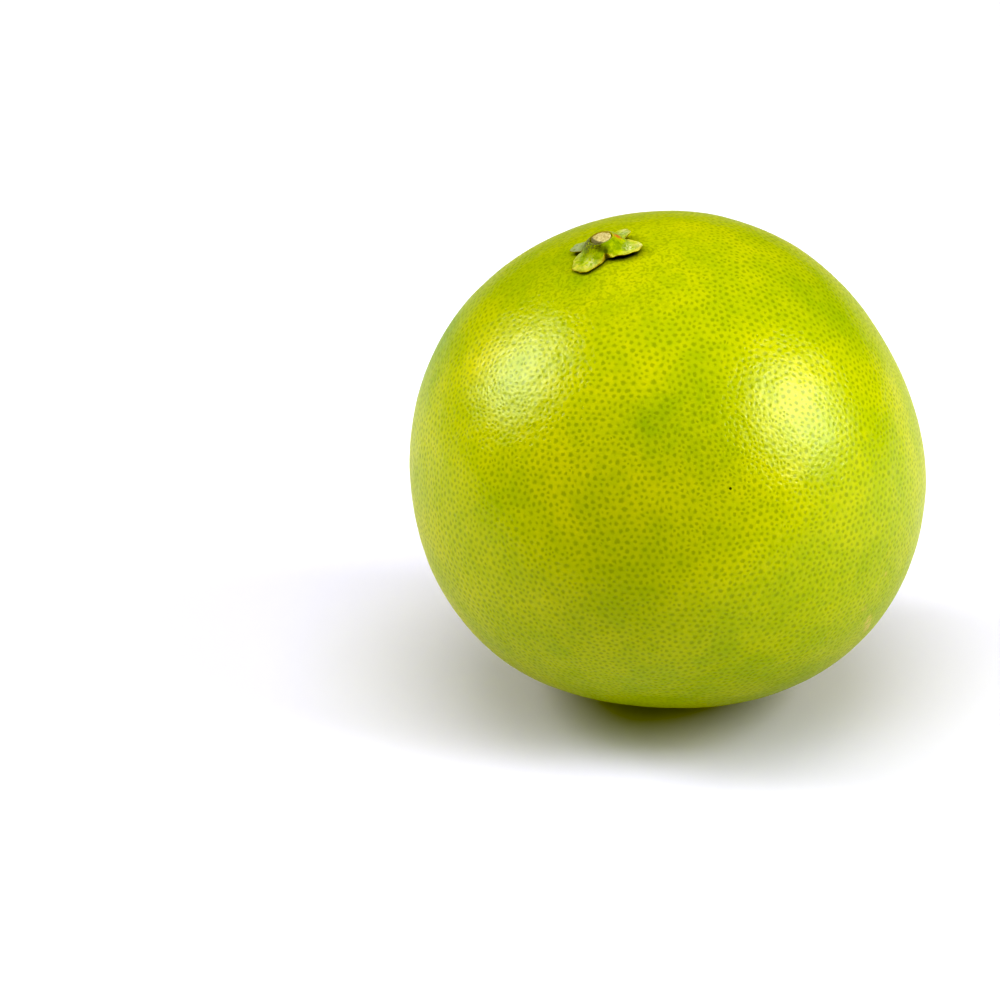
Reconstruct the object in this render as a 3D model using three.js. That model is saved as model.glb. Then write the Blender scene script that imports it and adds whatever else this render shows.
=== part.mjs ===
// A whole pomelo: the fruit, the five-lobed calyx at its stem end, and the cut end of its stem.
// Millimetres, +Z up. The origin is the middle of the small flat spot that the fruit rests on.
import * as THREE from 'three';
import { mergeVertices } from 'three/addons/utils/BufferGeometryUtils.js';

// Sizes of the fruit
const EQUATOR_RADIUS = 77.5;
const STEM_END_RADIUS = 77.5;
const BLOSSOM_END_RADIUS = 73.5;
const FRUIT_DETAIL = 18;

// Place of the fruit's core, measured from the resting spot
const CORE = new THREE.Vector3(0.6, -1.3, 71.65);

// The core's axis leans to the left, so the stem end is up and to the left
const STEM_AXIS = new THREE.Vector3(-0.2455, -0.1062, 0.9636).normalize();

// Broad swells and hollows: azimuth, elevation and spread in degrees, height in mm
const SWELLS = [
  { name: 'lower right shoulder', azimuth: -18, elevation: -34, spread: 29, height: 1.8 },
  { name: 'flatter upper right', azimuth: 7, elevation: 28, spread: 29, height: -2.7 },
  { name: 'upper left shoulder', azimuth: 165, elevation: 29, spread: 29, height: 1.5 },
  { name: 'flatter bottom', azimuth: -102, elevation: -64, spread: 29, height: -3.7 },
  { name: 'back cheek', azimuth: 75, elevation: 5, spread: 26, height: -1.5 },
  { name: 'back swell', azimuth: 135, elevation: -25, spread: 24, height: 1.2 },
  { name: 'lower back hollow', azimuth: 100, elevation: -60, spread: 22, height: -1.6 },
  { name: 'underside swell', azimuth: -90, elevation: -84, spread: 18, height: 0.8 },
  { name: 'blossom-end dimple', azimuth: 23.4, elevation: -74.5, spread: 5, height: -1 },
];

// Sizes of the calyx and the stem stub
const FIT_GAP = 0.3;
const BASE_RADIUS = 4.8;
const SEPALS = [
  { name: 'right', angle: -17, length: 12, halfWidth: 4.9, lift: 1.1 },
  { name: 'upper right', angle: 45, length: 10.6, halfWidth: 3.6, lift: 1.1 },
  { name: 'back', angle: 104, length: 9.6, halfWidth: 4, lift: 0.8 },
  { name: 'left', angle: 158, length: 10.4, halfWidth: 3.6, lift: 0.8 },
  { name: 'front left', angle: 229, length: 12.2, halfWidth: 4.9, lift: 0.3 },
];
const SEPAL_SHARPNESS = 2.4;
const LIFT_SHARPNESS = 6;
const LIFT_LENGTH = 4.5;
const SEPAL_THICKNESS = 0.9;
const ROOT_THICKENING = 1.9;
const CROWN_RADIUS = 4.1;
const CROWN_HEIGHT = 3.6;
const SOCKET_RADIUS = 3.3;
const SOCKET_FLOOR = 2.3;
const STUB_RADIUS = 3;
const STUB_TOP = 4.3;
const CALYX_SEGMENTS = 80;
const STUB_SEGMENTS = 28;

const rindMaterial = new THREE.MeshStandardMaterial({ color: 0xb4c208, roughness: 0.42, metalness: 0 });
const sepalMaterial = new THREE.MeshStandardMaterial({ color: 0x8d9a3a, roughness: 0.8, metalness: 0 });
const woodMaterial = new THREE.MeshStandardMaterial({ color: 0xc9b585, roughness: 0.9, metalness: 0 });

function directionOf(azimuth, elevation) {
  const polar = THREE.MathUtils.degToRad(90 - elevation);
  const around = THREE.MathUtils.degToRad(azimuth);
  return new THREE.Vector3(
    Math.sin(polar) * Math.cos(around),
    Math.sin(polar) * Math.sin(around),
    Math.cos(polar),
  );
}

const swells = SWELLS.map((swell) => ({
  direction: directionOf(swell.azimuth, swell.elevation),
  sharpness: 1 / (1 - Math.cos(THREE.MathUtils.degToRad(swell.spread))),
  height: swell.height,
}));

// Distance from the core to the rind along a unit direction
function rindRadius(direction) {
  const along = direction.dot(STEM_AXIS);
  const endRadius = along > 0 ? STEM_END_RADIUS : BLOSSOM_END_RADIUS;
  const across = 1 - along * along;
  let radius = 1 / Math.sqrt(across / EQUATOR_RADIUS ** 2 + along ** 2 / endRadius ** 2);
  for (const swell of swells) {
    radius += swell.height * Math.exp(swell.sharpness * (direction.dot(swell.direction) - 1));
  }
  return radius;
}

// A point on the rind, raised by a height, and never below the resting plane
function rindPoint(direction, height = 0) {
  const point = direction.clone().multiplyScalar(rindRadius(direction) + height);
  const floor = -CORE.z;
  if (point.z < floor) {
    point.multiplyScalar(floor / point.z);
    point.z = floor;
  }
  return point.add(CORE);
}

// The fruit: one solid, a fine ball pushed out to the rind
function makeFruit() {
  const geometry = new THREE.IcosahedronGeometry(1, FRUIT_DETAIL);
  geometry.deleteAttribute('normal');
  geometry.deleteAttribute('uv');
  const ball = mergeVertices(geometry, 1e-5);
  const position = ball.getAttribute('position');
  const direction = new THREE.Vector3();
  for (let i = 0; i < position.count; i += 1) {
    direction.fromBufferAttribute(position, i).normalize();
    const point = rindPoint(direction);
    position.setXYZ(i, point.x, point.y, Math.abs(point.z) < 1e-6 ? 0 : point.z);
  }
  ball.computeVertexNormals();
  const fruit = new THREE.Mesh(ball, rindMaterial);
  fruit.name = 'fruit';
  return fruit;
}

// Axes of the stem end: rightward and rearward along the rind
const STEM_RIGHT = new THREE.Vector3(1, 0, 0).addScaledVector(STEM_AXIS, -STEM_AXIS.x).normalize();
const STEM_REAR = new THREE.Vector3().crossVectors(STEM_AXIS, STEM_RIGHT);
const STEM_RADIUS = rindRadius(STEM_AXIS);

// A point near the stem end, from its distance and angle round the stem and its height on the rind
function stemEndPoint(distance, angle, height) {
  const direction = STEM_AXIS.clone().multiplyScalar(STEM_RADIUS);
  direction.addScaledVector(STEM_RIGHT, distance * Math.cos(angle));
  direction.addScaledVector(STEM_REAR, distance * Math.sin(angle));
  return rindPoint(direction.normalize(), height);
}

// Outer edge of the calyx at an angle: the furthest of its base ring and its five sepals
function calyxEdge(angle) {
  let edge = BASE_RADIUS;
  for (const sepal of SEPALS) {
    const turn = angle - THREE.MathUtils.degToRad(sepal.angle);
    const forward = Math.cos(turn);
    if (forward <= 0) continue;
    const lengthwise = (forward / sepal.length) ** SEPAL_SHARPNESS;
    const sideways = Math.abs(Math.sin(turn) / sepal.halfWidth) ** SEPAL_SHARPNESS;
    edge = Math.max(edge, (lengthwise + sideways) ** (-1 / SEPAL_SHARPNESS));
  }
  return edge;
}

// Height of the sepals' underside: on the rind at the base, lifting towards the tips
function undersideHeight(distance, angle) {
  let lift = 0;
  let total = 0;
  for (const sepal of SEPALS) {
    const turn = angle - THREE.MathUtils.degToRad(sepal.angle);
    const share = Math.exp(LIFT_SHARPNESS * (Math.cos(turn) - 1));
    lift += sepal.lift * share;
    total += share;
  }
  const rise = THREE.MathUtils.smoothstep(distance, BASE_RADIUS, BASE_RADIUS + LIFT_LENGTH);
  return FIT_GAP + (lift / total) * rise;
}

// Profile of the calyx: radius of a ring, or share of the way from the crown to the edge, and layer
const CALYX_PROFILE = [
  { ring: 0, layer: 'underside' },
  { ring: CROWN_RADIUS * 0.35, layer: 'underside' },
  { ring: CROWN_RADIUS, layer: 'underside' },
  { reach: 0.35, layer: 'underside' },
  { reach: 0.7, layer: 'underside' },
  { reach: 0.95, layer: 'underside' },
  { reach: 1, layer: 'rim' },
  { reach: 0.92, layer: 'top' },
  { reach: 0.65, layer: 'top' },
  { reach: 0.35, layer: 'top' },
  { reach: 0.12, layer: 'top' },
  { ring: CROWN_RADIUS * 0.97, layer: 'shoulder' },
  { ring: CROWN_RADIUS * 0.9, layer: 'crown' },
  { ring: SOCKET_RADIUS, layer: 'crown' },
  { ring: SOCKET_RADIUS, layer: 'socket' },
  { ring: 0, layer: 'socket' },
];

function calyxPoint(step, angle) {
  const edge = calyxEdge(angle);
  if (step.reach === undefined) {
    const heights = {
      underside: FIT_GAP,
      shoulder: 0.75 * CROWN_HEIGHT,
      crown: CROWN_HEIGHT,
      socket: SOCKET_FLOOR,
    };
    return stemEndPoint(step.ring, angle, heights[step.layer]);
  }
  const distance = THREE.MathUtils.lerp(CROWN_RADIUS, edge, step.reach);
  const underside = undersideHeight(distance, angle);
  const thinning = THREE.MathUtils.smoothstep(step.reach, 0, 0.6);
  const thickness = SEPAL_THICKNESS * THREE.MathUtils.lerp(ROOT_THICKENING, 1, thinning);
  const share = { underside: 0, rim: 0.5, top: 1 }[step.layer];
  return stemEndPoint(distance, angle, underside + share * thickness);
}

// A closed body from a lathe: its points are moved to where the given function puts them
function makeLathedBody(steps, segments, place) {
  const profile = steps.map((step, i) => {
    const onAxis = i === 0 || i === steps.length - 1;
    return new THREE.Vector2(onAxis ? 0 : 1, i);
  });
  const lathe = new THREE.LatheGeometry(profile, segments);
  const position = lathe.getAttribute('position');
  for (let i = 0; i < position.count; i += 1) {
    const segment = Math.floor(i / steps.length) % segments;
    const angle = (segment / segments) * Math.PI * 2;
    const point = place(steps[i % steps.length], angle);
    position.setXYZ(i, point.x, point.y, point.z);
  }
  lathe.deleteAttribute('normal');
  lathe.deleteAttribute('uv');
  const body = mergeVertices(lathe, 1e-4);
  body.computeVertexNormals();
  return body;
}

// The calyx: five dried sepals round a raised crown with a socket for the stem
function makeCalyx() {
  const calyx = new THREE.Mesh(makeLathedBody(CALYX_PROFILE, CALYX_SEGMENTS, calyxPoint), sepalMaterial);
  calyx.name = 'calyx';
  return calyx;
}

// The stem stub: the cut woody end that stands in the calyx's socket
const STUB_PROFILE = [
  { share: 0, height: SOCKET_FLOOR + FIT_GAP },
  { share: 0.9, height: SOCKET_FLOOR + FIT_GAP },
  { share: 1, height: SOCKET_FLOOR + FIT_GAP + 0.3 },
  { share: 1, height: STUB_TOP - 0.4 },
  { share: 0.85, height: STUB_TOP },
  { share: 0.45, height: STUB_TOP + 0.1 },
  { share: 0, height: STUB_TOP + 0.05 },
];

function makeStemStub() {
  const place = (step, angle) => stemEndPoint(step.share * STUB_RADIUS, angle, step.height);
  const stub = new THREE.Mesh(makeLathedBody(STUB_PROFILE, STUB_SEGMENTS, place), woodMaterial);
  stub.name = 'stem_stub';
  return stub;
}

const group = new THREE.Group();
group.add(makeFruit(), makeCalyx(), makeStemStub());

export default group;
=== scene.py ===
"""A whole pomelo with its dried calyx and the cut end of its stem, dressed around its solids.

Sizes are in millimetres unless a name ends in _m. The frame is that of the solids: the origin
is the middle of the resting spot, +X is to the right and +Z is up.
"""

from __future__ import annotations

import logging
import math
from collections.abc import Iterable
from dataclasses import dataclass
from enum import Enum

import bmesh
import bpy
import numpy as np
from mathutils import Matrix, Vector, noise

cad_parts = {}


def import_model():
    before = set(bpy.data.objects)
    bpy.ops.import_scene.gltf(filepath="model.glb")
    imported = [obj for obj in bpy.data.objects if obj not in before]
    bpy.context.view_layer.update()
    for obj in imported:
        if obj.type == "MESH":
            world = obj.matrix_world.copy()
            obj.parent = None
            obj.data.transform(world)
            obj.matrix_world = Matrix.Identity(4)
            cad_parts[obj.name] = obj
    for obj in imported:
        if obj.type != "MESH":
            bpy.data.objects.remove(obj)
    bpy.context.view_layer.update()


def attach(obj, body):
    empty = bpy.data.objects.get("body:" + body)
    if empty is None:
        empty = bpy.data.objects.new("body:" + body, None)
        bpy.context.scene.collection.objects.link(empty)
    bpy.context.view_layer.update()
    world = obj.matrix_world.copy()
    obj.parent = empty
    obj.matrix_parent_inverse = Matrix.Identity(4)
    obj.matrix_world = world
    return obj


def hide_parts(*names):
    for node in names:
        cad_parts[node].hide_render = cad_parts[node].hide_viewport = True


LOG = logging.getLogger("pomelo")
MM = 0.001
WHITE = (1.0, 1.0, 1.0, 1.0)
SEAM = 1e-5

# Places of a Mix node's colour sockets, and of the curve that bends all three colours
MIX_SHARE = 0
MIX_FIRST = 6
MIX_SECOND = 7
MIX_RESULT = 2
COMBINED_CURVE = 3

Colour = tuple[float, float, float]
Span = tuple[float, float]
Stops = tuple[Span, ...]


def direction_of(azimuth: float, elevation: float) -> np.ndarray:
    """Give the unit direction of an azimuth and an elevation.

    Args:
        azimuth: Degrees round from +X towards +Y.
        elevation: Degrees up from the level.

    Returns:
        The direction as three numbers.
    """
    around, up = math.radians(azimuth), math.radians(elevation)
    level = math.cos(up)
    return np.array([level * math.cos(around), level * math.sin(around), math.sin(up)])


def spread_sharpness(spread: float) -> float:
    """Give how sharply a bump of this angular spread, in degrees, falls off."""
    return 1.0 / (1.0 - math.cos(math.radians(spread)))


def smooth_rise(values: np.ndarray, low: float, high: float) -> np.ndarray:
    """Rise smoothly from 0 at low to 1 at high."""
    share = np.clip((values - low) / (high - low), 0.0, 1.0)
    return share * share * (3.0 - 2.0 * share)


def flat_places(distance: np.ndarray | float, angle: np.ndarray) -> np.ndarray:
    """Give flat places round the stem, one a row, from their distances and angles."""
    return np.stack([distance * np.cos(angle), distance * np.sin(angle), 0.0 * angle], axis=1)


@dataclass(frozen=True)
class Ripple:
    """Smooth noise: its height, the size of its lumps, and a shift that sets it apart."""

    height: float
    wavelength: float
    shift: float

    def at(self, points: np.ndarray) -> np.ndarray:
        """Give the ripple's value at each point, roughly from minus its height to its height."""
        scaled = points / self.wavelength + self.shift
        return self.height * np.array([noise.noise(Vector(place)) for place in scaled])


@dataclass(frozen=True)
class Swell:
    """A swell or hollow of the fruit, or a patch or scar on its rind, placed in degrees."""

    azimuth: float
    elevation: float
    spread: float
    amount: float

    def at(self, directions: np.ndarray) -> np.ndarray:
        """Give the swell's amount along each direction."""
        facing = directions @ direction_of(self.azimuth, self.elevation)
        return self.amount * np.exp(spread_sharpness(self.spread) * (facing - 1.0))


@dataclass(frozen=True)
class Patch:
    """A round patch on the calyx, placed by its rightward and rearward distance from the stem."""

    right: float
    rear: float
    radius: float
    amount: float

    def at(self, flat: np.ndarray) -> np.ndarray:
        """Give the patch's amount at flat places round the stem."""
        away = np.hypot(flat[:, 0] - self.right, flat[:, 1] - self.rear)
        return self.amount * np.exp(-((away / self.radius) ** 2))


def add_up(parts: Iterable[Ripple | Swell | Patch], places: np.ndarray) -> np.ndarray:
    """Add up what each ripple, swell or patch gives at each place.

    Args:
        parts: The ripples, swells or patches.
        places: Places or directions of the kind that the parts take, one a row.

    Returns:
        The sum at each place.
    """
    total = np.zeros(len(places))
    for part in parts:
        total += part.at(places)
    return total


@dataclass(frozen=True)
class RindForm:
    """The smooth form of the fruit, as in the solids."""

    equator_radius: float = 77.5
    stem_end_radius: float = 77.5
    blossom_end_radius: float = 73.5
    core: tuple[float, float, float] = (0.6, -1.3, 71.65)
    stem_axis: tuple[float, float, float] = (-0.2455, -0.1062, 0.9636)
    swells: tuple[Swell, ...] = (
        Swell(-18, -34, 29, 1.8),
        Swell(7, 28, 29, -2.7),
        Swell(165, 29, 29, 1.5),
        Swell(-102, -64, 29, -3.7),
        Swell(75, 5, 26, -1.5),
        Swell(135, -25, 24, 1.2),
        Swell(100, -60, 22, -1.6),
        Swell(-90, -84, 18, 0.8),
        Swell(23.4, -74.5, 5, -1.0),
    )

    def axis(self) -> np.ndarray:
        """Give the unit direction of the stem end."""
        axis = np.array(self.stem_axis)
        return axis / np.linalg.norm(axis)

    def radius(self, directions: np.ndarray) -> np.ndarray:
        """Give the distance from the core to the rind along unit directions.

        Args:
            directions: Unit directions from the core, one a row.

        Returns:
            One distance a direction, in millimetres.
        """
        along = directions @ self.axis()
        end = np.where(along > 0, self.stem_end_radius, self.blossom_end_radius)
        across = 1.0 - along**2
        radius = 1.0 / np.sqrt(across / self.equator_radius**2 + along**2 / end**2)
        for swell in self.swells:
            radius = radius + swell.at(directions)
        return radius

    def points(self, directions: np.ndarray, height: np.ndarray | float = 0.0) -> np.ndarray:
        """Place points on or over the rind, and never below the resting plane.

        Args:
            directions: Unit directions from the core, one a row.
            height: Height over the rind, for all or for each.

        Returns:
            The points in millimetres, one a row.
        """
        points = directions * (self.radius(directions) + height)[:, None]
        floor = -self.core[2]
        below = points[:, 2] < floor
        points[below] *= (floor / points[below, 2])[:, None]
        points[below, 2] = floor
        return points + np.array(self.core)


@dataclass(frozen=True)
class StemEnd:
    """The ring of places round the stem: distance, angle and height over the rind."""

    form: RindForm
    least_facing: float = 0.2
    far_side: float = 200.0

    def axes(self) -> tuple[np.ndarray, np.ndarray, np.ndarray]:
        """Give the stem's axis, and the rightward and rearward directions round it.

        Returns:
            The three unit directions.
        """
        axis = self.form.axis()
        right = np.array([1.0, 0.0, 0.0]) - axis * axis[0]
        right /= np.linalg.norm(right)
        return axis, right, np.cross(axis, right)

    def points(self, distance: np.ndarray, angle: np.ndarray, height: np.ndarray) -> np.ndarray:
        """Place points by distance and angle from the stem and height over the rind.

        Args:
            distance: Distance of each point from the stem's axis.
            angle: Its angle round the stem, from rightward towards the rear, in radians.
            height: Its height over the rind.

        Returns:
            The points in millimetres, one a row.
        """
        axis, right, rear = self.axes()
        reach = self.form.radius(axis[None, :])[0]
        directions = (
            axis * reach
            + np.outer(distance * np.cos(angle), right)
            + np.outer(distance * np.sin(angle), rear)
        )
        directions /= np.linalg.norm(directions, axis=1)[:, None]
        return self.form.points(directions, height)

    def locate(self, directions: np.ndarray) -> tuple[np.ndarray, np.ndarray]:
        """Give the distance and angle round the stem, with the far side at a set distance.

        Args:
            directions: Unit directions from the core, one a row.

        Returns:
            Each direction's distance and angle, as points() takes them.
        """
        axis, right, rear = self.axes()
        reach = self.form.radius(axis[None, :])[0]
        facing = directions @ axis
        along = np.maximum(facing, self.least_facing)
        x = directions @ right / along * reach
        y = directions @ rear / along * reach
        near = facing > self.least_facing
        return np.where(near, np.hypot(x, y), self.far_side), np.arctan2(y, x)


@dataclass(frozen=True)
class Pattern:
    """Noise for a finish: lump size, detail, roughness, the stops it goes through, its depth."""

    size: float
    detail: float = 2.0
    rough: float = 0.5
    stops: Stops = ()
    depth: float = 0.0


class Shader:
    """A material's node tree, with short calls for the nodes that the finishes use."""

    def __init__(self, name: str) -> None:
        """Start a material with a Principled surface."""
        self.material = bpy.data.materials.new(name)
        self.material.use_nodes = True
        self.nodes = self.material.node_tree.nodes
        self.links = self.material.node_tree.links
        self.surface = self.nodes["Principled BSDF"]
        self.place = self.nodes.new("ShaderNodeTexCoord").outputs["Object"]

    def set(self, **values: float | tuple) -> None:
        """Set the surface's own sockets, with underscores for the spaces of their names."""
        for name, value in values.items():
            self.surface.inputs[name.replace("_", " ")].default_value = value

    def attribute(self, name: str) -> bpy.types.NodeSocket:
        """Read one of the mesh's own attributes.

        Args:
            name: The attribute's name.

        Returns:
            The socket with its value.
        """
        node = self.nodes.new("ShaderNodeAttribute")
        node.attribute_name = name
        return node.outputs["Fac"]

    def pattern(self, pattern: Pattern) -> bpy.types.NodeSocket:
        """Make a pattern's noise, and turn it by the pattern's stops where it has them.

        Args:
            pattern: The pattern, with its lumps in millimetres.

        Returns:
            The socket with its value.
        """
        node = self.nodes.new("ShaderNodeTexNoise")
        node.inputs["Scale"].default_value = 1.0 / (pattern.size * MM)
        node.inputs["Detail"].default_value = pattern.detail
        node.inputs["Roughness"].default_value = pattern.rough
        self.links.new(self.place, node.inputs["Vector"])
        plain = node.outputs["Fac"]
        return self.ramp(plain, pattern.stops) if pattern.stops else plain

    def ramp(self, source: bpy.types.NodeSocket, stops: Stops) -> bpy.types.NodeSocket:
        """Turn a value smoothly into another between two stops.

        Args:
            source: The value that goes in.
            stops: Two pairs of what goes in and what comes out.

        Returns:
            The socket with the new value.
        """
        node = self.nodes.new("ShaderNodeValToRGB")
        ramp = node.color_ramp
        ramp.interpolation = "EASE"
        for element, (position, value) in zip(ramp.elements, stops):
            element.position = position
            element.color = (value, value, value, 1.0)
        self.links.new(source, node.inputs["Fac"])
        return node.outputs["Color"]

    def math(
        self,
        operation: str,
        first: bpy.types.NodeSocket | float,
        second: bpy.types.NodeSocket | float,
    ) -> bpy.types.NodeSocket:
        """Combine two values by a Math node's operation.

        Args:
            operation: The node's name for the operation.
            first: The first value, or the socket that has it.
            second: The second value, or the socket that has it.

        Returns:
            The socket with the result.
        """
        node = self.nodes.new("ShaderNodeMath")
        node.operation = operation
        self.feed(node.inputs[0], first)
        self.feed(node.inputs[1], second)
        return node.outputs["Value"]

    def mix(
        self,
        share: bpy.types.NodeSocket,
        first: bpy.types.NodeSocket | Colour,
        second: bpy.types.NodeSocket | Colour,
    ) -> bpy.types.NodeSocket:
        """Mix two colours.

        Args:
            share: How much of the second shows, from 0 to 1.
            first: The first colour, or the socket that has it.
            second: The second colour, or the socket that has it.

        Returns:
            The socket with the mixed colour.
        """
        node = self.nodes.new("ShaderNodeMix")
        node.data_type = "RGBA"
        self.feed(node.inputs[MIX_SHARE], share)
        self.feed(node.inputs[MIX_FIRST], first)
        self.feed(node.inputs[MIX_SECOND], second)
        return node.outputs[MIX_RESULT]

    def distance_m(self, place: np.ndarray) -> bpy.types.NodeSocket:
        """Give the distance in metres from a place in millimetres.

        Args:
            place: The place, as three numbers.

        Returns:
            The socket with the distance.
        """
        node = self.nodes.new("ShaderNodeVectorMath")
        node.operation = "DISTANCE"
        self.links.new(self.place, node.inputs[0])
        node.inputs[1].default_value = Vector(place) * MM
        return node.outputs["Value"]

    def spot(self, place: np.ndarray, radius: float) -> bpy.types.NodeSocket:
        """Mark a round spot: 1 within a radius of a place, both in millimetres, and 0 outside."""
        return self.math("LESS_THAN", self.distance_m(place), radius * MM)

    def feed(self, socket: bpy.types.NodeSocket, value: object) -> None:
        """Link a socket, or set it where the value is plain."""
        if isinstance(value, bpy.types.NodeSocket):
            self.links.new(value, socket)
        elif isinstance(value, tuple):
            socket.default_value = (*value, 1.0)
        else:
            socket.default_value = value

    def bump(
        self,
        height: bpy.types.NodeSocket,
        depth: float,
        under: bpy.types.NodeSocket | None = None,
    ) -> bpy.types.NodeSocket:
        """Raise fine relief.

        Args:
            height: The relief, from 0 to 1.
            depth: Its full height in millimetres.
            under: Coarser relief that this one lies on.

        Returns:
            The socket with the bent normal.
        """
        node = self.nodes.new("ShaderNodeBump")
        node.inputs["Strength"].default_value = 1.0
        node.inputs["Distance"].default_value = depth * MM
        self.links.new(height, node.inputs["Height"])
        if under is not None:
            self.links.new(under, node.inputs["Normal"])
        return node.outputs["Normal"]

    def raised(
        self, pattern: Pattern, under: bpy.types.NodeSocket | None = None
    ) -> bpy.types.NodeSocket:
        """Raise a pattern as fine relief of its own depth, on coarser relief if it is given."""
        return self.bump(self.pattern(pattern), pattern.depth, under)

    def colour(self, socket: bpy.types.NodeSocket) -> None:
        """Give the surface its colour."""
        self.links.new(socket, self.surface.inputs["Base Color"])

    def roughness(self, socket: bpy.types.NodeSocket) -> None:
        """Give the surface its roughness."""
        self.links.new(socket, self.surface.inputs["Roughness"])

    def relief(self, socket: bpy.types.NodeSocket) -> None:
        """Give the surface its fine relief."""
        self.links.new(socket, self.surface.inputs["Normal"])


@dataclass(frozen=True)
class RindFinish:
    """Waxy green-yellow rind with a dark dot in each oil gland, and painted shade under the calyx.
    """

    green: Colour = (0.28, 0.41, 0.001)
    yellow: Colour = (0.60, 0.59, 0.002)
    dot: Colour = (0.20, 0.26, 0.001)
    scar: Colour = (0.60, 0.50, 0.13)
    speck: Colour = (0.02, 0.015, 0.005)
    # Painted shade, near black, for the rind under the calyx's edge
    painted_shade: Colour = (0.03, 0.035, 0.006)
    speck_radius: float = 0.38

    # How green and yellow mix
    mottle: Pattern = Pattern(14.0, 4.0, 0.6, ((0.3, 0.0), (0.7, 1.0)))
    mottle_share: float = 0.22
    fleck: Pattern = Pattern(2.6, 3.0, 0.6, ((0.3, 0.0), (0.7, 1.0)))
    fleck_share: float = 0.16
    ripe_offset: float = 0.19

    # Oil glands, and the finer stipple round the stem
    ragged: Pattern = Pattern(0.8)
    ragged_share: float = 0.6
    dot_stops: Stops = ((0.12, 0.0), (0.66, 1.0))
    dot_share: float = 0.5
    pit_stops: Stops = ((0.0, 0.0), (0.9, 1.0))
    pit_depth: float = 0.045
    stipple: Pattern = Pattern(0.95, 0.0, stops=((0.5, 0.0), (0.64, 0.34)))
    lace: Pattern = Pattern(1.0, 3.0, 0.6, ((0.38, 0.0), (0.52, 1.0)))

    # Wax and relief
    worn: Pattern = Pattern(5.0, 3.0)
    worn_share: float = 0.12
    least_roughness: float = 0.31
    lumps: Pattern = Pattern(5.5, 2.0, 0.45, depth=0.22)
    peel: Pattern = Pattern(1.8, 2.5, 0.6, depth=0.19)
    pores: Pattern = Pattern(0.55, depth=0.025)
    gloss: float = 0.88
    gloss_tint: tuple[float, float, float, float] = (0.77, 0.80, 1.0, 1.0)

    def build(self, specks: np.ndarray) -> bpy.types.Material:
        """Make the material, with tiny dark specks at these places on the rind.

        Args:
            specks: The specks' places in millimetres, one a row.

        Returns:
            The material.
        """
        shader = Shader("rind")
        mottle = shader.math("MULTIPLY", shader.pattern(self.mottle), self.mottle_share)
        fleck = shader.math("MULTIPLY", shader.pattern(self.fleck), self.fleck_share)
        # The ripe value carries a few patches of painted light and shade besides ripeness
        ripeness = shader.math("ADD", shader.attribute("ripe_and_painted_shading"), mottle)
        ripeness = shader.math("ADD", ripeness, fleck)
        ripeness = shader.math("SUBTRACT", ripeness, self.ripe_offset)
        skin = shader.mix(ripeness, self.green, self.yellow)

        ragged = shader.math("SUBTRACT", shader.pattern(self.ragged), 0.5)
        ragged = shader.math("MULTIPLY", ragged, self.ragged_share)
        gland = shader.math("ADD", shader.attribute("gland"), ragged)
        dots = shader.math("MULTIPLY", shader.ramp(gland, self.dot_stops), self.dot_share)
        skin = shader.mix(dots, skin, self.dot)
        stipple = shader.math("MULTIPLY", shader.attribute("fine"), shader.pattern(self.stipple))
        skin = shader.mix(stipple, skin, self.dot)
        scars = shader.math("MULTIPLY", shader.attribute("scar"), shader.pattern(self.lace))
        skin = shader.mix(scars, skin, self.scar)
        # Painted shade where the calyx covers the rind
        skin = shader.mix(shader.attribute("painted_shade"), skin, self.painted_shade)
        for place in specks:
            skin = shader.mix(shader.spot(place, self.speck_radius), skin, self.speck)
        shader.colour(skin)

        worn = shader.math("MULTIPLY", shader.pattern(self.worn), self.worn_share)
        shader.roughness(shader.math("ADD", worn, self.least_roughness))

        pits = shader.math("SUBTRACT", 1.0, shader.ramp(gland, self.pit_stops))
        relief = shader.bump(pits, self.pit_depth, shader.raised(self.lumps))
        relief = shader.raised(self.peel, relief)
        shader.relief(shader.raised(self.pores, relief))
        shader.set(Specular_IOR_Level=self.gloss, Specular_Tint=self.gloss_tint)
        return shader.material


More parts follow.
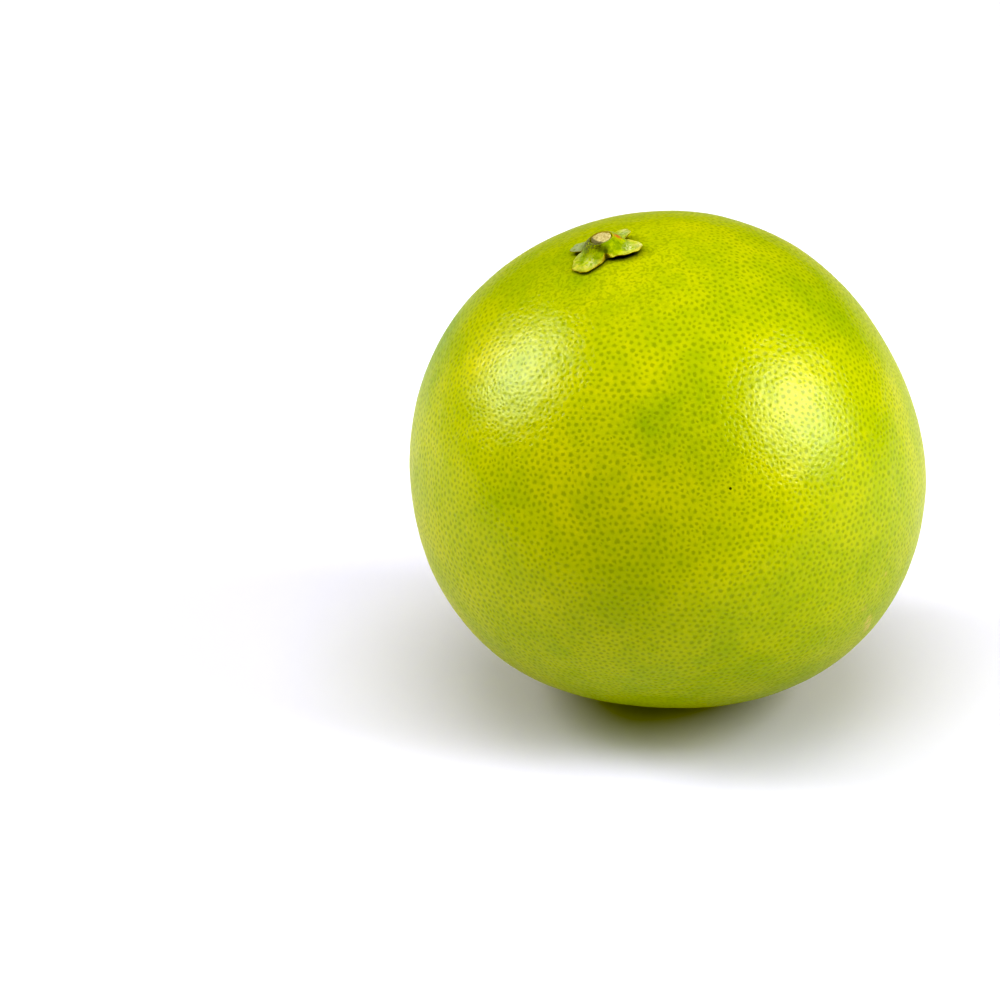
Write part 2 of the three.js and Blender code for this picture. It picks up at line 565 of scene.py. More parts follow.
@dataclass(frozen=True)
class SepalFinish:
    """Yellow-green sepals, dried to straw at the tips and brown along the thin edges, with painted
    shade in their folds and on their undersides.
    """

    green: Colour = (0.27, 0.37, 0.02)
    lime: Colour = (0.46, 0.53, 0.02)
    grey: Colour = (0.37, 0.42, 0.25)
    pale: Colour = (0.62, 0.62, 0.36)
    straw: Colour = (0.62, 0.57, 0.12)
    brown: Colour = (0.34, 0.16, 0.07)
    crust: Colour = (0.08, 0.08, 0.055)
    # Dark green: painted shade in the folds and on the undersides, and the colour of random
    # blotches
    dark: Colour = (0.10, 0.14, 0.012)
    blush: Colour = (0.55, 0.12, 0.03)
    cloud: Pattern = Pattern(2.4, 4.0, 0.65, ((0.42, 0.0), (0.62, 1.0)))
    fleck: Pattern = Pattern(0.7, 3.0, 0.7, ((0.36, 0.0), (0.6, 1.0)))
    dust_base: float = 1.2
    dust_share: float = 0.45
    blotch: Pattern = Pattern(1.0, 3.0, 0.7, ((0.56, 0.0), (0.72, 0.6)))
    speckle: Pattern = Pattern(0.7, 3.0, 0.8, ((0.42, 0.3), (0.56, 1.0)))
    wrinkle: Pattern = Pattern(1.3, 4.0, 0.7, depth=0.22)
    fibre: Pattern = Pattern(0.35, depth=0.05)

    def build(self) -> bpy.types.Material:
        """Make the material."""
        shader = Shader("sepals")
        skin = shader.mix(shader.pattern(self.cloud), self.green, self.lime)
        fleck = shader.pattern(self.fleck)
        dusty = shader.math("ADD", fleck, self.dust_base)
        dusty = shader.math("MULTIPLY", dusty, self.dust_share)
        dusty = shader.math("MULTIPLY", shader.attribute("grey"), dusty)
        skin = shader.mix(dusty, skin, self.grey)
        skin = shader.mix(shader.attribute("straw"), skin, self.straw)
        skin = shader.mix(shader.math("MULTIPLY", shader.attribute("pale"), fleck), skin, self.pale)
        # Painted shade in the folds' creases and on the sepals' undersides
        skin = shader.mix(shader.attribute("dark"), skin, self.dark)
        skin = shader.mix(shader.pattern(self.blotch), skin, self.dark)
        crust = shader.math("MULTIPLY", shader.attribute("crust"), shader.pattern(self.speckle))
        skin = shader.mix(crust, skin, self.crust)
        skin = shader.mix(shader.attribute("blush"), skin, self.blush)
        skin = shader.mix(shader.attribute("brown"), skin, self.brown)
        shader.colour(skin)
        shader.relief(shader.raised(self.fibre, shader.raised(self.wrinkle)))
        shader.set(Roughness=0.72, Specular_IOR_Level=0.3, Sheen_Weight=0.25, Sheen_Roughness=0.5)
        return shader.material


@dataclass(frozen=True)
class WoodFinish:
    """Dry cut end grain, cream in the middle and dark grey round the rim."""

    cream: Colour = (0.62, 0.57, 0.33)
    tan: Colour = (0.46, 0.38, 0.19)
    rim: Colour = (0.21, 0.19, 0.12)
    grain: Pattern = Pattern(0.9, 4.0, 0.7, ((0.38, 0.0), (0.66, 1.0)))
    rim_waver: Pattern = Pattern(1.2, 3.0)
    rim_stops: Stops = ((0.75, 0.0), (1.0, 1.0))
    fibre: Pattern = Pattern(0.5, 4.0, 0.7, depth=0.12)

    def build(self) -> bpy.types.Material:
        """Make the material."""
        shader = Shader("stem_wood")
        face = shader.mix(shader.pattern(self.grain), self.cream, self.tan)
        rim = shader.math("ADD", shader.attribute("rim"), shader.pattern(self.rim_waver))
        shader.colour(shader.mix(shader.ramp(rim, self.rim_stops), face, self.rim))
        shader.relief(shader.raised(self.fibre))
        shader.set(Roughness=0.85, Specular_IOR_Level=0.25)
        return shader.material


@dataclass(frozen=True)
class FloorFinish:
    """Plain pale studio floor, cooler round the fruit to balance the light off its rind."""

    near: Colour = (0.80, 0.775, 0.98)
    far: Colour = (0.82, 0.81, 0.905)
    near_m: float = 0.03
    far_m: float = 0.105

    def build(self) -> bpy.types.Material:
        """Make the material."""
        shader = Shader("studio_floor")
        away = shader.distance_m(np.zeros(3))
        away = shader.ramp(away, ((self.near_m, 0.0), (self.far_m, 1.0)))
        shader.colour(shader.mix(away, self.near, self.far))
        shader.set(Roughness=0.9, Specular_IOR_Level=0.1)
        return shader.material


def finish_piece(
    bm: bmesh.types.BMesh,
    name: str,
    material: bpy.types.Material,
    attributes: dict[str, np.ndarray],
) -> bpy.types.Object:
    """Turn a bmesh into a smooth-shaded object at the origin.

    Args:
        bm: The mesh in metres, which is freed.
        name: The object's name.
        material: Its material.
        attributes: One array of values a vertex for each attribute.

    Returns:
        The object, linked to the scene.
    """
    for face in bm.faces:
        face.smooth = True
    mesh = bpy.data.meshes.new(name)
    bm.to_mesh(mesh)
    bm.free()
    for key, values in attributes.items():
        layer = mesh.attributes.new(key, "FLOAT", "POINT")
        layer.data.foreach_set("value", values.astype(np.float32))
    mesh.materials.append(material)
    piece = bpy.data.objects.new(name, mesh)
    bpy.context.scene.collection.objects.link(piece)
    return piece


def vertex_places(bm: bmesh.types.BMesh) -> np.ndarray:
    """Give the places of a bmesh's vertices, one a row."""
    return np.array([vertex.co for vertex in bm.verts])


def move_vertices(bm: bmesh.types.BMesh, places: np.ndarray) -> None:
    """Put a bmesh's vertices at the given places."""
    for vertex, place in zip(bm.verts, places):
        vertex.co = place


@dataclass(frozen=True)
class Sepal:
    """One sepal: its place, outline, and how far it stands off the rind."""

    angle: float
    length: float
    clockwise: float
    anticlockwise: float
    sharpness: float
    lift: float
    curl: float
    grey: float

    def turn(self, angle: np.ndarray) -> np.ndarray:
        """Give the angles measured from the sepal's middle line, in radians."""
        return angle - math.radians(self.angle)

    def reach(self, angle: np.ndarray) -> np.ndarray:
        """Give how far the sepal reaches from the stem at each angle.

        Args:
            angle: Angles round the stem, in radians.

        Returns:
            One distance an angle.
        """
        turn = self.turn(angle)
        forward = np.maximum(np.cos(turn), 1e-6)
        width = np.where(np.sin(turn) < 0, self.clockwise, self.anticlockwise)
        lengthwise = (forward / self.length) ** self.sharpness
        sideways = np.abs(np.sin(turn) / width) ** self.sharpness
        reach = (lengthwise + sideways) ** (-1.0 / self.sharpness)
        return np.where(np.cos(turn) > 0, reach, 0.0)


@dataclass(frozen=True)
class Cleft:
    """A narrow notch in the calyx's edge: its angle, its share of the edge and its spread."""

    angle: float
    depth: float
    spread: float

    def left(self, angle: np.ndarray) -> np.ndarray:
        """Give the share of the edge that the cleft leaves at each angle."""
        away = np.cos(angle - math.radians(self.angle)) - 1.0
        return 1.0 - self.depth * np.exp(spread_sharpness(self.spread) * away)


@dataclass(frozen=True)
class CalyxOutline:
    """The calyx seen along the stem: a base ring, five sepals and the clefts between them."""

    notch_radius: float = 4.6
    waver: Ripple = Ripple(0.055, 0.16, 2.0)
    blend_sharpness: float = 9.0
    rib_width: float = 0.9
    sepals: tuple[Sepal, ...] = (
        Sepal(-18, 12.1, 6.2, 4.2, 2.0, 1.15, 0.1, 0.0),
        Sepal(40, 9.7, 2.7, 2.9, 4.0, 1.3, 0.6, 0.3),
        Sepal(102, 8.6, 4.0, 4.0, 2.4, 0.3, 0.2, 0.3),
        Sepal(157, 11.1, 4.6, 3.2, 2.4, 1.1, -0.1, 1.0),
        Sepal(228, 12.2, 5.8, 4.9, 2.8, 0.55, -0.2, 0.0),
    )
    clefts: tuple[Cleft, ...] = (
        Cleft(-80, 0.19, 7),
        Cleft(177, 0.16, 5),
    )

    def edge(self, angle: np.ndarray) -> np.ndarray:
        """Give the distance of the calyx's edge at each angle.

        Args:
            angle: Angles round the stem, in radians.

        Returns:
            One distance an angle.
        """
        edge = np.full(angle.shape, self.notch_radius)
        for sepal in self.sepals:
            edge = np.maximum(edge, sepal.reach(angle))
        for cleft in self.clefts:
            edge *= cleft.left(angle)
        return edge * (1.0 + self.waver.at(flat_places(1.0, angle)))

    def blended(self, angle: np.ndarray, name: str) -> np.ndarray:
        """Blend one of the sepals' values smoothly from sepal to sepal.

        Args:
            angle: Angles round the stem, in radians.
            name: The name of the sepals' value.

        Returns:
            One value an angle.
        """
        total = np.zeros_like(angle)
        weight = np.zeros_like(angle)
        for sepal in self.sepals:
            share = np.exp(self.blend_sharpness * (np.cos(sepal.turn(angle)) - 1.0))
            total += getattr(sepal, name) * share
            weight += share
        return total / weight

    def ribs(self, distance: np.ndarray, angle: np.ndarray) -> np.ndarray:
        """Raise a low rib along the middle of each sepal.

        Args:
            distance: Distances from the stem.
            angle: Angles round the stem, in radians.

        Returns:
            Each place's share of a rib's height.
        """
        ribs = np.zeros_like(angle)
        for sepal in self.sepals:
            turn = sepal.turn(angle)
            across = distance * np.sin(turn)
            ahead = np.cos(turn) > 0
            ribs += ahead * np.exp(-((across / self.rib_width) ** 2))
        return ribs


@dataclass
class Rind:
    """The fruit: one closed body whose every coarse vertex is an oil gland."""

    form: RindForm
    stem_end: StemEnd
    outline: CalyxOutline
    finish: RindFinish
    gland_rows: int = 44
    seed: int = 11
    scatter: float = 0.38
    last_scatter: float = 0.12
    rounds: int = 4
    smoothings: int = 2
    smoothing: float = 0.5
    strengths: Span = (0.6, 1.0)
    pit_depth: float = 0.06

    # How the glands fade and the stipple grows towards the stem
    fade: Span = (12.0, 46.0)
    fade_depth: float = 0.62
    stipple_fade: Span = (14.0, 48.0)

    # Low waves, and faint folds in a ring round the stem
    waves: tuple[Ripple, ...] = (Ripple(0.16, 17.0, 3.1), Ripple(0.07, 6.0, 9.7))
    fold_count: float = 5.0
    fold_turn: float = 1.1
    fold_distance: float = 15.0
    fold_width: float = 7.0
    fold_height: float = 0.14

    # Colour
    ripeness: float = 0.62
    ripe_waves: Ripple = Ripple(0.2, 26.0, 21.0)
    scar_edge: Ripple = Ripple(0.9, 2.2, 5.0)
    scar_rise: Span = (0.25, 0.8)
    scar_strength: float = 0.85
    # How the painted shade under the calyx rises with the depth under its edge
    painted_shade_rise: Span = (0.3, 1.6)
    colour_patches: tuple[Swell, ...] = (
        # Greener and darker at the bottom front: partly the rind's own tone, partly painted shade
        Swell(-95, -50, 34, -0.3),
        # A yellower spot over a greener, darker one on the front: partly the rind's own tone,
        # partly painted light and shade of a low bump that the form lacks
        Swell(-97, 44.5, 5, 0.12),
        Swell(-95, 34.8, 7.5, -0.45),
        Swell(177, 60, 13, -0.28),
        Swell(-139, 66, 6, -0.25),
        Swell(-156, 36, 8, 0.35),
        Swell(172, 28, 13, -0.5),
        Swell(-72, 75, 12, 0.1),
        Swell(-85, 24, 22, 0.15),
        Swell(-10, 51, 13, -0.35),
        Swell(-120, 33, 12, 0.2),
        Swell(-45, -20, 30, -0.15),
        Swell(90, 20, 35, 0.1),
        Swell(60, 60, 12, -0.3),
        Swell(160, -10, 20, 0.25),
        Swell(110, 40, 9, 0.35),
    )
    scars: tuple[Swell, ...] = (
        Swell(-33.0, -25.0, 1.6, 1.0),
        Swell(-34.5, -22.5, 1.3, 0.9),
        Swell(-31.5, -27.5, 1.2, 0.8),
        Swell(-33.6, -6.0, 0.7, 0.8),
        Swell(-33.3, -11.0, 0.8, 0.8),
        Swell(-36.0, -13.5, 0.8, 0.8),
        Swell(-39.0, -18.0, 0.9, 0.9),
        Swell(70.0, 12.0, 1.5, 0.8),
        Swell(148.0, 22.0, 1.0, 0.8),
        Swell(23.4, -74.5, 2.4, 1.3),
    )
    specks: tuple[tuple[float, float], ...] = ((-76.0, 20.2), (32.0, 40.0), (148.0, -8.0))

    def scatter_glands(self, bm: bmesh.types.BMesh) -> None:
        """Break up the even grid: scatter its vertices, turn its edges and even it out.

        Args:
            bm: A ball of even triangles, in millimetres.
        """
        draw = np.random.default_rng(self.seed)
        for _ in range(self.rounds):
            places = vertex_places(bm)
            places += self.scatter * draw.standard_normal(places.shape)
            move_vertices(bm, self.onto_ball(places))
            self.turn_edges(bm)
            for _ in range(self.smoothings):
                bmesh.ops.smooth_vert(
                    bm,
                    verts=bm.verts[:],
                    factor=self.smoothing,
                    use_axis_x=True,
                    use_axis_y=True,
                    use_axis_z=True,
                )
            move_vertices(bm, self.onto_ball(vertex_places(bm)))
            self.turn_edges(bm)
        places = vertex_places(bm)
        places += self.last_scatter * draw.standard_normal(places.shape)
        move_vertices(bm, self.onto_ball(places))

    def turn_edges(self, bm: bmesh.types.BMesh) -> None:
        """Turn edges so that the triangles are as even as they can be."""
        bmesh.ops.beautify_fill(
            bm,
            faces=bm.faces[:],
            edges=bm.edges[:],
            use_restrict_tag=False,
            method="ANGLE",
        )

    def onto_ball(self, places: np.ndarray) -> np.ndarray:
        """Put places back on a ball of the fruit's size."""
        return places / np.linalg.norm(places, axis=1)[:, None] * self.form.equator_radius

    def gland_strengths(self, count: int, directions: np.ndarray) -> np.ndarray:
        """Give each gland its strength, fainter round the stem.

        Args:
            count: How many of the directions, from the first, are glands.
            directions: Unit directions from the core, one a row.

        Returns:
            One strength a gland.
        """
        draw = np.random.default_rng(self.seed + 1)
        strengths = draw.uniform(*self.strengths, count)
        distance, _ = self.stem_end.locate(directions[:count])
        near_stem = 1.0 - smooth_rise(distance, *self.fade)
        return strengths * (1.0 - self.fade_depth * near_stem)

    def relief(self, directions: np.ndarray) -> np.ndarray:
        """Give the rind's low waves and the faint folds round the stem.

        Args:
            directions: Unit directions from the core, one a row.

        Returns:
            One height a direction.
        """
        waves = add_up(self.waves, directions * self.form.equator_radius)
        distance, angle = self.stem_end.locate(directions)
        away = (distance - self.fold_distance) / self.fold_width
        folds = np.cos(self.fold_count * angle + self.fold_turn) * np.exp(-(away**2))
        return waves + self.fold_height * folds

    def stains(self, directions: np.ndarray) -> dict[str, np.ndarray]:
        """Give the finish its values along each direction: ripeness with some painted shading,
        stipple, scars and painted shade under the calyx.

        Args:
            directions: Unit directions from the core, one a row.

        Returns:
            One array of values a direction for each attribute.
        """
        places = directions * self.form.equator_radius
        ripe_and_painted_shading = self.ripeness + add_up(self.colour_patches, directions)
        ragged = 1.0 + self.scar_edge.at(places)
        scar = np.clip(add_up(self.scars, directions) * ragged, 0.0, 1.0)
        distance, angle = self.stem_end.locate(directions)
        # How far inside the calyx's edge each place lies; the painted shade rises with it
        covered = self.outline.edge(angle) - distance
        return {
            "fine": 1.0 - smooth_rise(distance, *self.stipple_fade),
            "ripe_and_painted_shading": ripe_and_painted_shading + self.ripe_waves.at(places),
            "scar": self.scar_strength * smooth_rise(scar, *self.scar_rise),
            "painted_shade": smooth_rise(covered, *self.painted_shade_rise),
        }

    def build(self) -> bpy.types.Object:
        """Build the fruit and put it in the place of its solid."""
        bm = bmesh.new()
        bmesh.ops.create_icosphere(bm, subdivisions=1, radius=self.form.equator_radius)
        cuts = self.gland_rows - 1
        bmesh.ops.subdivide_edges(bm, edges=bm.edges[:], cuts=cuts, use_grid_fill=True)
        move_vertices(bm, self.onto_ball(vertex_places(bm)))
        self.scatter_glands(bm)
        glands = len(bm.verts)
        bmesh.ops.subdivide_edges(bm, edges=bm.edges[:], cuts=1, use_grid_fill=True)

        directions = vertex_places(bm)
        directions /= np.linalg.norm(directions, axis=1)[:, None]
        strength = np.zeros(len(directions))
        strength[:glands] = self.gland_strengths(glands, directions)
        height = self.relief(directions) - self.pit_depth * strength
        move_vertices(bm, self.form.points(directions, height) * MM)

        attributes = {"gland": strength, **self.stains(directions)}
        specks = self.form.points(np.array([direction_of(*speck) for speck in self.specks]))
        piece = finish_piece(bm, "pomelo_rind", self.finish.build(specks), attributes)
        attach(piece, "root")
        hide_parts("fruit")
        return piece


class Layer(Enum):
    """The side of a spun shell that a profile point is on."""

    UNDER = 0.0
    RIM = 0.5
    TOP = 1.0


def spin_shell(
    profile: list[Span], segments: int
) -> tuple[bmesh.types.BMesh, np.ndarray, np.ndarray, np.ndarray]:
    """Spin a closed shell from a profile that starts and ends on the axis.

    Args:
        profile: Pairs of reach from the axis and level.
        segments: Steps round.

    Returns:
        The bmesh, and each vertex's reach, angle and level.
    """
    bm = bmesh.new()
    line = [bm.verts.new((reach, 0.0, level)) for reach, level in profile]
    edges = [bm.edges.new(pair) for pair in zip(line, line[1:])]
    bmesh.ops.spin(
        bm,
        geom=line + edges,
        cent=(0.0, 0.0, 0.0),
        axis=(0.0, 0.0, 1.0),
        angle=math.tau,
        steps=segments,
        use_merge=True,
        use_duplicate=False,
    )
    bmesh.ops.remove_doubles(bm, verts=bm.verts[:], dist=SEAM)
    bmesh.ops.recalc_face_normals(bm, faces=bm.faces[:])
    places = vertex_places(bm)
    reach = np.hypot(places[:, 0], places[:, 1])
    return bm, reach, np.arctan2(places[:, 1], places[:, 0]), places[:, 2]


@dataclass
class Calyx:
    """Five dried sepals round a raised crown with a socket for the stem."""

    stem_end: StemEnd
    outline: CalyxOutline
    finish: SepalFinish
    gap: float = 0.3
    foot_radius: float = 4.0
    foot_rise: float = 3.6
    crown_radius: float = 4.1
    crown_height: float = 4.8
    crown_spread: float = 8.2
    socket_radius: float = 3.04
    socket_floor: float = 2.3
    segments: int = 300
    rings: int = 34
    crown_share: float = 0.3

    # Underside: never lower than this over the rind, with curled tips and broad buckles
    lowest: float = 0.15
    curl_power: int = 5
    buckles: Ripple = Ripple(0.3, 3.2, 4.0)
    buckle_rise: Span = (4.2, 8.0)

    # Top: thin sepals with thicker roots, ribs, wrinkles and folds, and the crown's slope
    thinnest: float = 0.22
    thickness: float = 0.28
    root_thickness: float = 1.2
    thinning: Span = (0.0, 0.75)
    wrinkles: Ripple = Ripple(0.15, 1.3, 8.0)
    wrinkle_rise: Span = (4.6, 6.6)
    rib_height: float = 0.3
    rib_rise: Span = (4.0, 6.0)
    fold_depth: float = 0.8
    crown_lip: float = 0.6
    crown_fall: float = 3.6
    crown_power: float = 1.25
    socket_share: float = 0.995

    # Stains, and painted shade on the sepals' undersides
    uneven: Ripple = Ripple(0.3, 1.3, 6.0)
    brown_limit: float = 0.8
    brown_margin: Span = (-0.15, 0.25)
    brown_ragged: float = 1.3
    brown_rise: Span = (4.8, 6.4)
    crest_brown: float = 0.7
    crest_distance: float = 3.3
    crest_width: float = 0.6
    grey_rise: Span = (5.0, 7.5)
    straw_strength: float = 0.8
    straw_ragged: float = 1.5
    straw_rise: Span = (0.5, 1.1)
    # Painted shade: the sepals' undersides, below this level of the shell, are darkened
    under_level: float = 0.4
    underside_painted_shade: float = 1.2
    blush_ragged: float = 2.0
    blush_limit: float = 0.9
    pale: tuple[Patch, ...] = (
        Patch(7.6, -3.6, 1.5, 1.0),
        Patch(10.8, -2.6, 1.2, 0.9),
        Patch(-4.2, -6.9, 1.7, 0.8),
        Patch(6.6, 6.4, 1.8, 0.7),
    )
    # Creases dented into the top, and darkened there with painted shade
    folds: tuple[Patch, ...] = (
        Patch(-0.6, -4.4, 0.9, 0.8),
        Patch(0.9, -5.0, 0.8, 1.2),
        Patch(-6.3, 0.2, 0.8, 0.6),
    )
    blush: Patch = Patch(4.5, 0.2, 0.95, 0.9)
    crust: tuple[Patch, ...] = (
        Patch(-4.2, 0.6, 1.6, 1.2),
        Patch(-3.5, -2.2, 1.7, 1.4),
        Patch(-1.0, -3.6, 1.2, 1.2),
        Patch(-2.4, 3.0, 1.3, 0.6),
        Patch(2.0, 3.6, 1.2, 0.6),
    )

    def heights(
        self, distance: np.ndarray, angle: np.ndarray, reach: np.ndarray
    ) -> tuple[np.ndarray, np.ndarray]:
        """Give the heights of the underside and the top over the rind.

        Args:
            distance: Distance from the stem.
            angle: Angle round the stem.
            reach: Share of the way from the crown to the edge.

        Returns:
            The two heights of each vertex.
        """
        flat = flat_places(distance, angle)
        rise = smooth_rise(distance, self.foot_radius, self.foot_radius + self.foot_rise)
        lift = self.outline.blended(angle, "lift") * rise
        curl = self.outline.blended(angle, "curl") * reach**self.curl_power
        buckles = self.buckles.at(flat) * smooth_rise(distance, *self.buckle_rise)
        under = np.maximum(self.gap + lift + curl + buckles, self.lowest)

        roots = self.root_thickness * (1.0 - smooth_rise(reach, *self.thinning))
        ribs = self.rib_height * self.outline.ribs(distance, angle) * (1.0 - reach)
        ribs *= smooth_rise(distance, *self.rib_rise)
        sepals = under + self.thickness + roots + ribs
        slope = smooth_rise(distance, self.socket_radius - self.crown_lip, self.crown_spread)
        crown = self.crown_height - self.crown_fall * slope**self.crown_power
        wrinkles = self.wrinkles.at(flat) * smooth_rise(distance, *self.wrinkle_rise)
        top = np.maximum(sepals, crown) + wrinkles - self.fold_depth * add_up(self.folds, flat)
        socket = distance < self.socket_share * self.socket_radius
        top = np.where(socket, self.socket_floor, np.maximum(top, under + self.thinnest))
        return under, top

    def stains(
        self, places: np.ndarray, distance: np.ndarray, angle: np.ndarray, reach: np.ndarray
    ) -> dict[str, np.ndarray]:
        """Give the finish its values: browned edges, straw tips, grey, pale, crusted and red spots.

        Args:
            places: Each vertex's place.
            distance: Distance from the stem.
            angle: Angle round the stem.
            reach: Share of the way from the crown to the edge.

        Returns:
            One array of values a vertex for each attribute.
        """
        flat = flat_places(distance, angle)
        uneven = self.uneven.at(places)
        margin = self.outline.edge(angle) - distance + self.brown_ragged * uneven
        edging = self.brown_limit * (1.0 - smooth_rise(margin, *self.brown_margin))
        edging *= smooth_rise(distance, *self.brown_rise)
        away = (distance - self.crest_distance) / self.crest_width
        crest = self.crest_brown * np.maximum(np.sin(angle), 0.0) * np.exp(-(away**2))
        grey = self.outline.blended(angle, "grey") * smooth_rise(distance, *self.grey_rise)
        straw = smooth_rise(reach + self.straw_ragged * uneven, *self.straw_rise)
        blush = self.blush.at(flat) * (1.0 + self.blush_ragged * uneven)
        return {
            "brown": np.clip(edging + crest, 0.0, self.brown_limit),
            "straw": self.straw_strength * straw * (1.0 - grey),
            "grey": grey,
            "pale": np.clip(add_up(self.pale, flat), 0.0, 1.0),
            "crust": np.clip(add_up(self.crust, flat), 0.0, 1.0),
            "blush": np.clip(blush, 0.0, self.blush_limit),
        }

    def build(self) -> bpy.types.Object:
        """Build the calyx and put it in the place of its solid."""
        steps = [i / self.rings for i in range(self.rings + 1)]
        under = [(step, Layer.UNDER.value) for step in steps[:-1]]
        top = [(step, Layer.TOP.value) for step in reversed(steps[:-1])]
        profile = under + [(1.0, Layer.RIM.value)] + top
        bm, reach, angle, level = spin_shell(profile, self.segments)
        inner = reach / self.crown_share * self.crown_radius
        share = np.clip((reach - self.crown_share) / (1.0 - self.crown_share), 0.0, 1.0)
        outer = self.crown_radius + (self.outline.edge(angle) - self.crown_radius) * share
        distance = np.where(reach < self.crown_share, inner, outer)
        low, high = self.heights(distance, angle, share)
        places = self.stem_end.points(distance, angle, low + (high - low) * level)
        move_vertices(bm, places * MM)

        attributes = self.stains(places, distance, angle, share)
        # Painted shade: darker in the folds' creases and on the sepals' undersides
        dark = add_up(self.folds, flat_places(distance, angle))
        dark += self.underside_painted_shade * (level < self.under_level)
        attributes["dark"] = np.clip(dark, 0.0, 1.0)
        piece = finish_piece(bm, "pomelo_calyx", self.finish.build(), attributes)
        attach(piece, "root")
        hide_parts("calyx")
        return piece


@dataclass
class StemStub:
    """The cut woody end of the stem, standing in the crown."""

    stem_end: StemEnd
    finish: WoodFinish
    radius: float = 2.95
    foot: float = 2.6
    top: float = 4.75
    segments: int = 120
    rings: int = 22

    # Profile from the foot to the cut face: shares of the radius and of the height
    foot_steps: tuple[float, ...] = (0.0, 0.5, 0.95)
    side: tuple[Span, ...] = ((1.0, 0.15), (1.0, 0.5), (1.0, 0.8), (0.99, 0.93))
    face_level: float = 0.9

    # Cut face: worn wood, growth rings, a low dome and a rounded rim
    waver: Ripple = Ripple(0.008, 0.7, 1.0)
    worn: tuple[Ripple, ...] = (Ripple(0.22, 1.6, 2.0), Ripple(0.10, 0.6, 5.0))
    growth_rings: float = 4.0
    ring_height: float = 0.05
    dome_height: float = 0.2
    rim_drop: float = 0.15
    rim_width: Span = (0.85, 1.0)

    # Dark rim, widest on one side
    dark_side: float = 215.0
    dark_spread: float = 0.6
    dark_rise: Span = (0.95, 1.35)
    side_dark: float = 0.6
    dark_strength: float = 0.5

    def build(self) -> bpy.types.Object:
        """Build the stub and put it in the place of its solid."""
        foot = [(step, Layer.UNDER.value) for step in self.foot_steps]
        face = [(i / self.rings, Layer.TOP.value) for i in reversed(range(self.rings))]
        profile = foot + list(self.side) + face
        bm, reach, angle, level = spin_shell(profile, self.segments)
        on_face = level > self.face_level
        around = np.stack([np.cos(angle), np.sin(angle), level], axis=1)
        distance = self.radius * reach * (1.0 + self.waver.at(around))
        height = self.foot + (self.top - self.foot) * level
        worn = add_up(self.worn, self.stem_end.points(distance, angle, height))
        rings = self.ring_height * np.cos(reach * math.tau * self.growth_rings)
        dome = self.dome_height * (1.0 - reach**2)
        dome -= self.rim_drop * smooth_rise(reach, *self.rim_width)
        height += (worn + rings + dome) * on_face
        move_vertices(bm, self.stem_end.points(distance, angle, height) * MM)

        facing = np.cos(angle - math.radians(self.dark_side))
        spread = reach + self.dark_spread * np.maximum(facing, 0.0)
        dark = np.where(on_face, smooth_rise(spread, *self.dark_rise), self.side_dark)
        attributes = {"rim": self.dark_strength * dark}
        piece = finish_piece(bm, "pomelo_stem_stub", self.finish.build(), attributes)
        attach(piece, "root")
        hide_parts("stem_stub")
        return piece


@dataclass(frozen=True)
class SoftBox:
    """A square studio light, placed by the photo's right, up and towards directions."""

    name: str
    right: float
    up: float
    toward: float
    distance_m: float
    size_m: float
    watts: float
    mirrored: bool = True


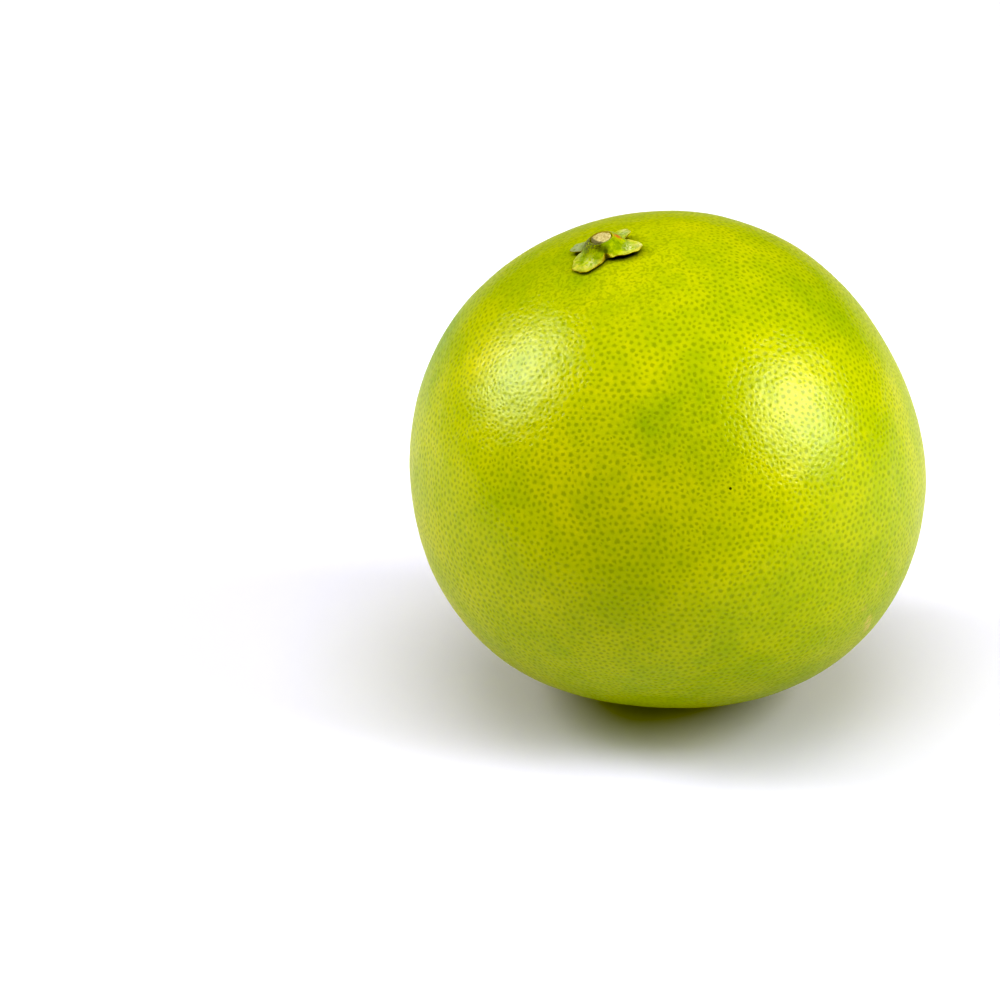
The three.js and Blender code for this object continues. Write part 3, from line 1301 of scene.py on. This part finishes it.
@dataclass
class Studio:
    """The pale floor, the soft lights and the camera at the photo's viewing angle."""

    form: RindForm
    elevation: float = 25.0
    distance_m: float = 2.1
    mm_per_pixel: float = 0.3
    frame_pixels: int = 1000
    core_pixel: tuple[float, float] = (669.6, 469.3)
    sensor_mm: float = 36.0
    floor_m: float = 3.0
    clip_end_m: float = 20.0
    room: float = 0.38
    gamma: float = 0.85
    black: Colour = (0.01, 0.01, 0.08)
    middle: tuple[float, float] = (0.42, 0.395)
    white: tuple[float, float] = (0.86, 1.0)
    boxes: tuple[SoftBox, ...] = (
        SoftBox("left_box", -0.81, 0.55, 0.14, 1.6, 0.74, 13.0),
        SoftBox("right_box", 0.810, 0.370, 0.42, 1.6, 0.90, 17.5),
        SoftBox("top_box", 0.0, 0.80, 0.60, 1.7, 1.6, 14.0, mirrored=False),
    )

    def axes(self) -> tuple[np.ndarray, np.ndarray, np.ndarray]:
        """Give the photo's right, up and towards-the-camera directions."""
        tilt = math.radians(self.elevation)
        toward = np.array([0.0, -math.cos(tilt), math.sin(tilt)])
        up = np.array([0.0, math.sin(tilt), math.cos(tilt)])
        return np.array([1.0, 0.0, 0.0]), up, toward

    def add_floor(self) -> None:
        """Lay the floor under the resting spot."""
        bm = bmesh.new()
        bmesh.ops.create_grid(bm, x_segments=2, y_segments=2, size=self.floor_m)
        floor = finish_piece(bm, "studio_floor", FloorFinish().build(), {})

    def add_lights(self) -> None:
        """Hang the soft boxes and light the room."""
        core = np.array(self.form.core) * MM
        right, up, toward = self.axes()
        for box in self.boxes:
            light = bpy.data.lights.new(box.name, "AREA")
            light.shape = "SQUARE"
            light.size = box.size_m
            light.energy = box.watts
            way = box.right * right + box.up * up + box.toward * toward
            way *= box.distance_m / np.linalg.norm(way)
            lamp = bpy.data.objects.new(box.name, light)
            lamp.visible_glossy = box.mirrored
            lamp.location = core + way
            lamp.rotation_euler = Vector(-way).to_track_quat("-Z", "Y").to_euler()
            bpy.context.scene.collection.objects.link(lamp)
        world = bpy.data.worlds.new("studio")
        world.use_nodes = True
        back = world.node_tree.nodes["Background"]
        back.inputs["Color"].default_value = WHITE
        back.inputs["Strength"].default_value = self.room
        bpy.context.scene.world = world

    def add_camera(self) -> None:
        """Set the camera where the photo was taken from, with the fruit at its place."""
        right, up, toward = self.axes()
        pixel_m = self.mm_per_pixel * MM
        middle = self.frame_pixels / 2
        aside = (middle - self.core_pixel[0]) * pixel_m * right
        above = (self.core_pixel[1] - middle) * pixel_m * up
        back = Vector(toward * self.distance_m - aside - above).normalized()
        level = (Vector(right) - back * back.dot(Vector(right))).normalized()
        turn = Matrix((level, back.cross(level), back)).transposed()

        lens = bpy.data.cameras.new("camera")
        lens.sensor_width = self.sensor_mm
        lens.lens = self.sensor_mm * self.distance_m / (self.frame_pixels * pixel_m)
        lens.clip_end = self.clip_end_m
        camera = bpy.data.objects.new("camera", lens)
        camera.location = np.array(self.form.core) * MM + toward * self.distance_m
        camera.rotation_euler = turn.to_euler()
        bpy.context.scene.collection.objects.link(camera)
        bpy.context.scene.camera = camera

    def build(self) -> None:
        """Set up the whole studio."""
        self.add_floor()
        self.add_lights()
        self.add_camera()
        view = bpy.context.scene.view_settings
        view.view_transform = "Standard"
        view.gamma = self.gamma
        view.use_curve_mapping = True
        view.curve_mapping.black_level = self.black
        curve = view.curve_mapping.curves[COMBINED_CURVE]
        curve.points[-1].location = self.white
        curve.points.new(*self.middle)
        view.curve_mapping.update()


def main() -> None:
    """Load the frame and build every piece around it."""
    logging.basicConfig(level=logging.INFO, format="%(name)s: %(message)s")
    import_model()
    form = RindForm()
    stem_end = StemEnd(form)
    outline = CalyxOutline()
    makers = (
        Rind(form, stem_end, outline, RindFinish()),
        Calyx(stem_end, outline, SepalFinish()),
        StemStub(stem_end, WoodFinish()),
    )
    for maker in makers:
        piece = maker.build()
        LOG.info("%s: %d faces", piece.name, len(piece.data.polygons))
    Studio(form).build()


if __name__ == "__main__":
    main()
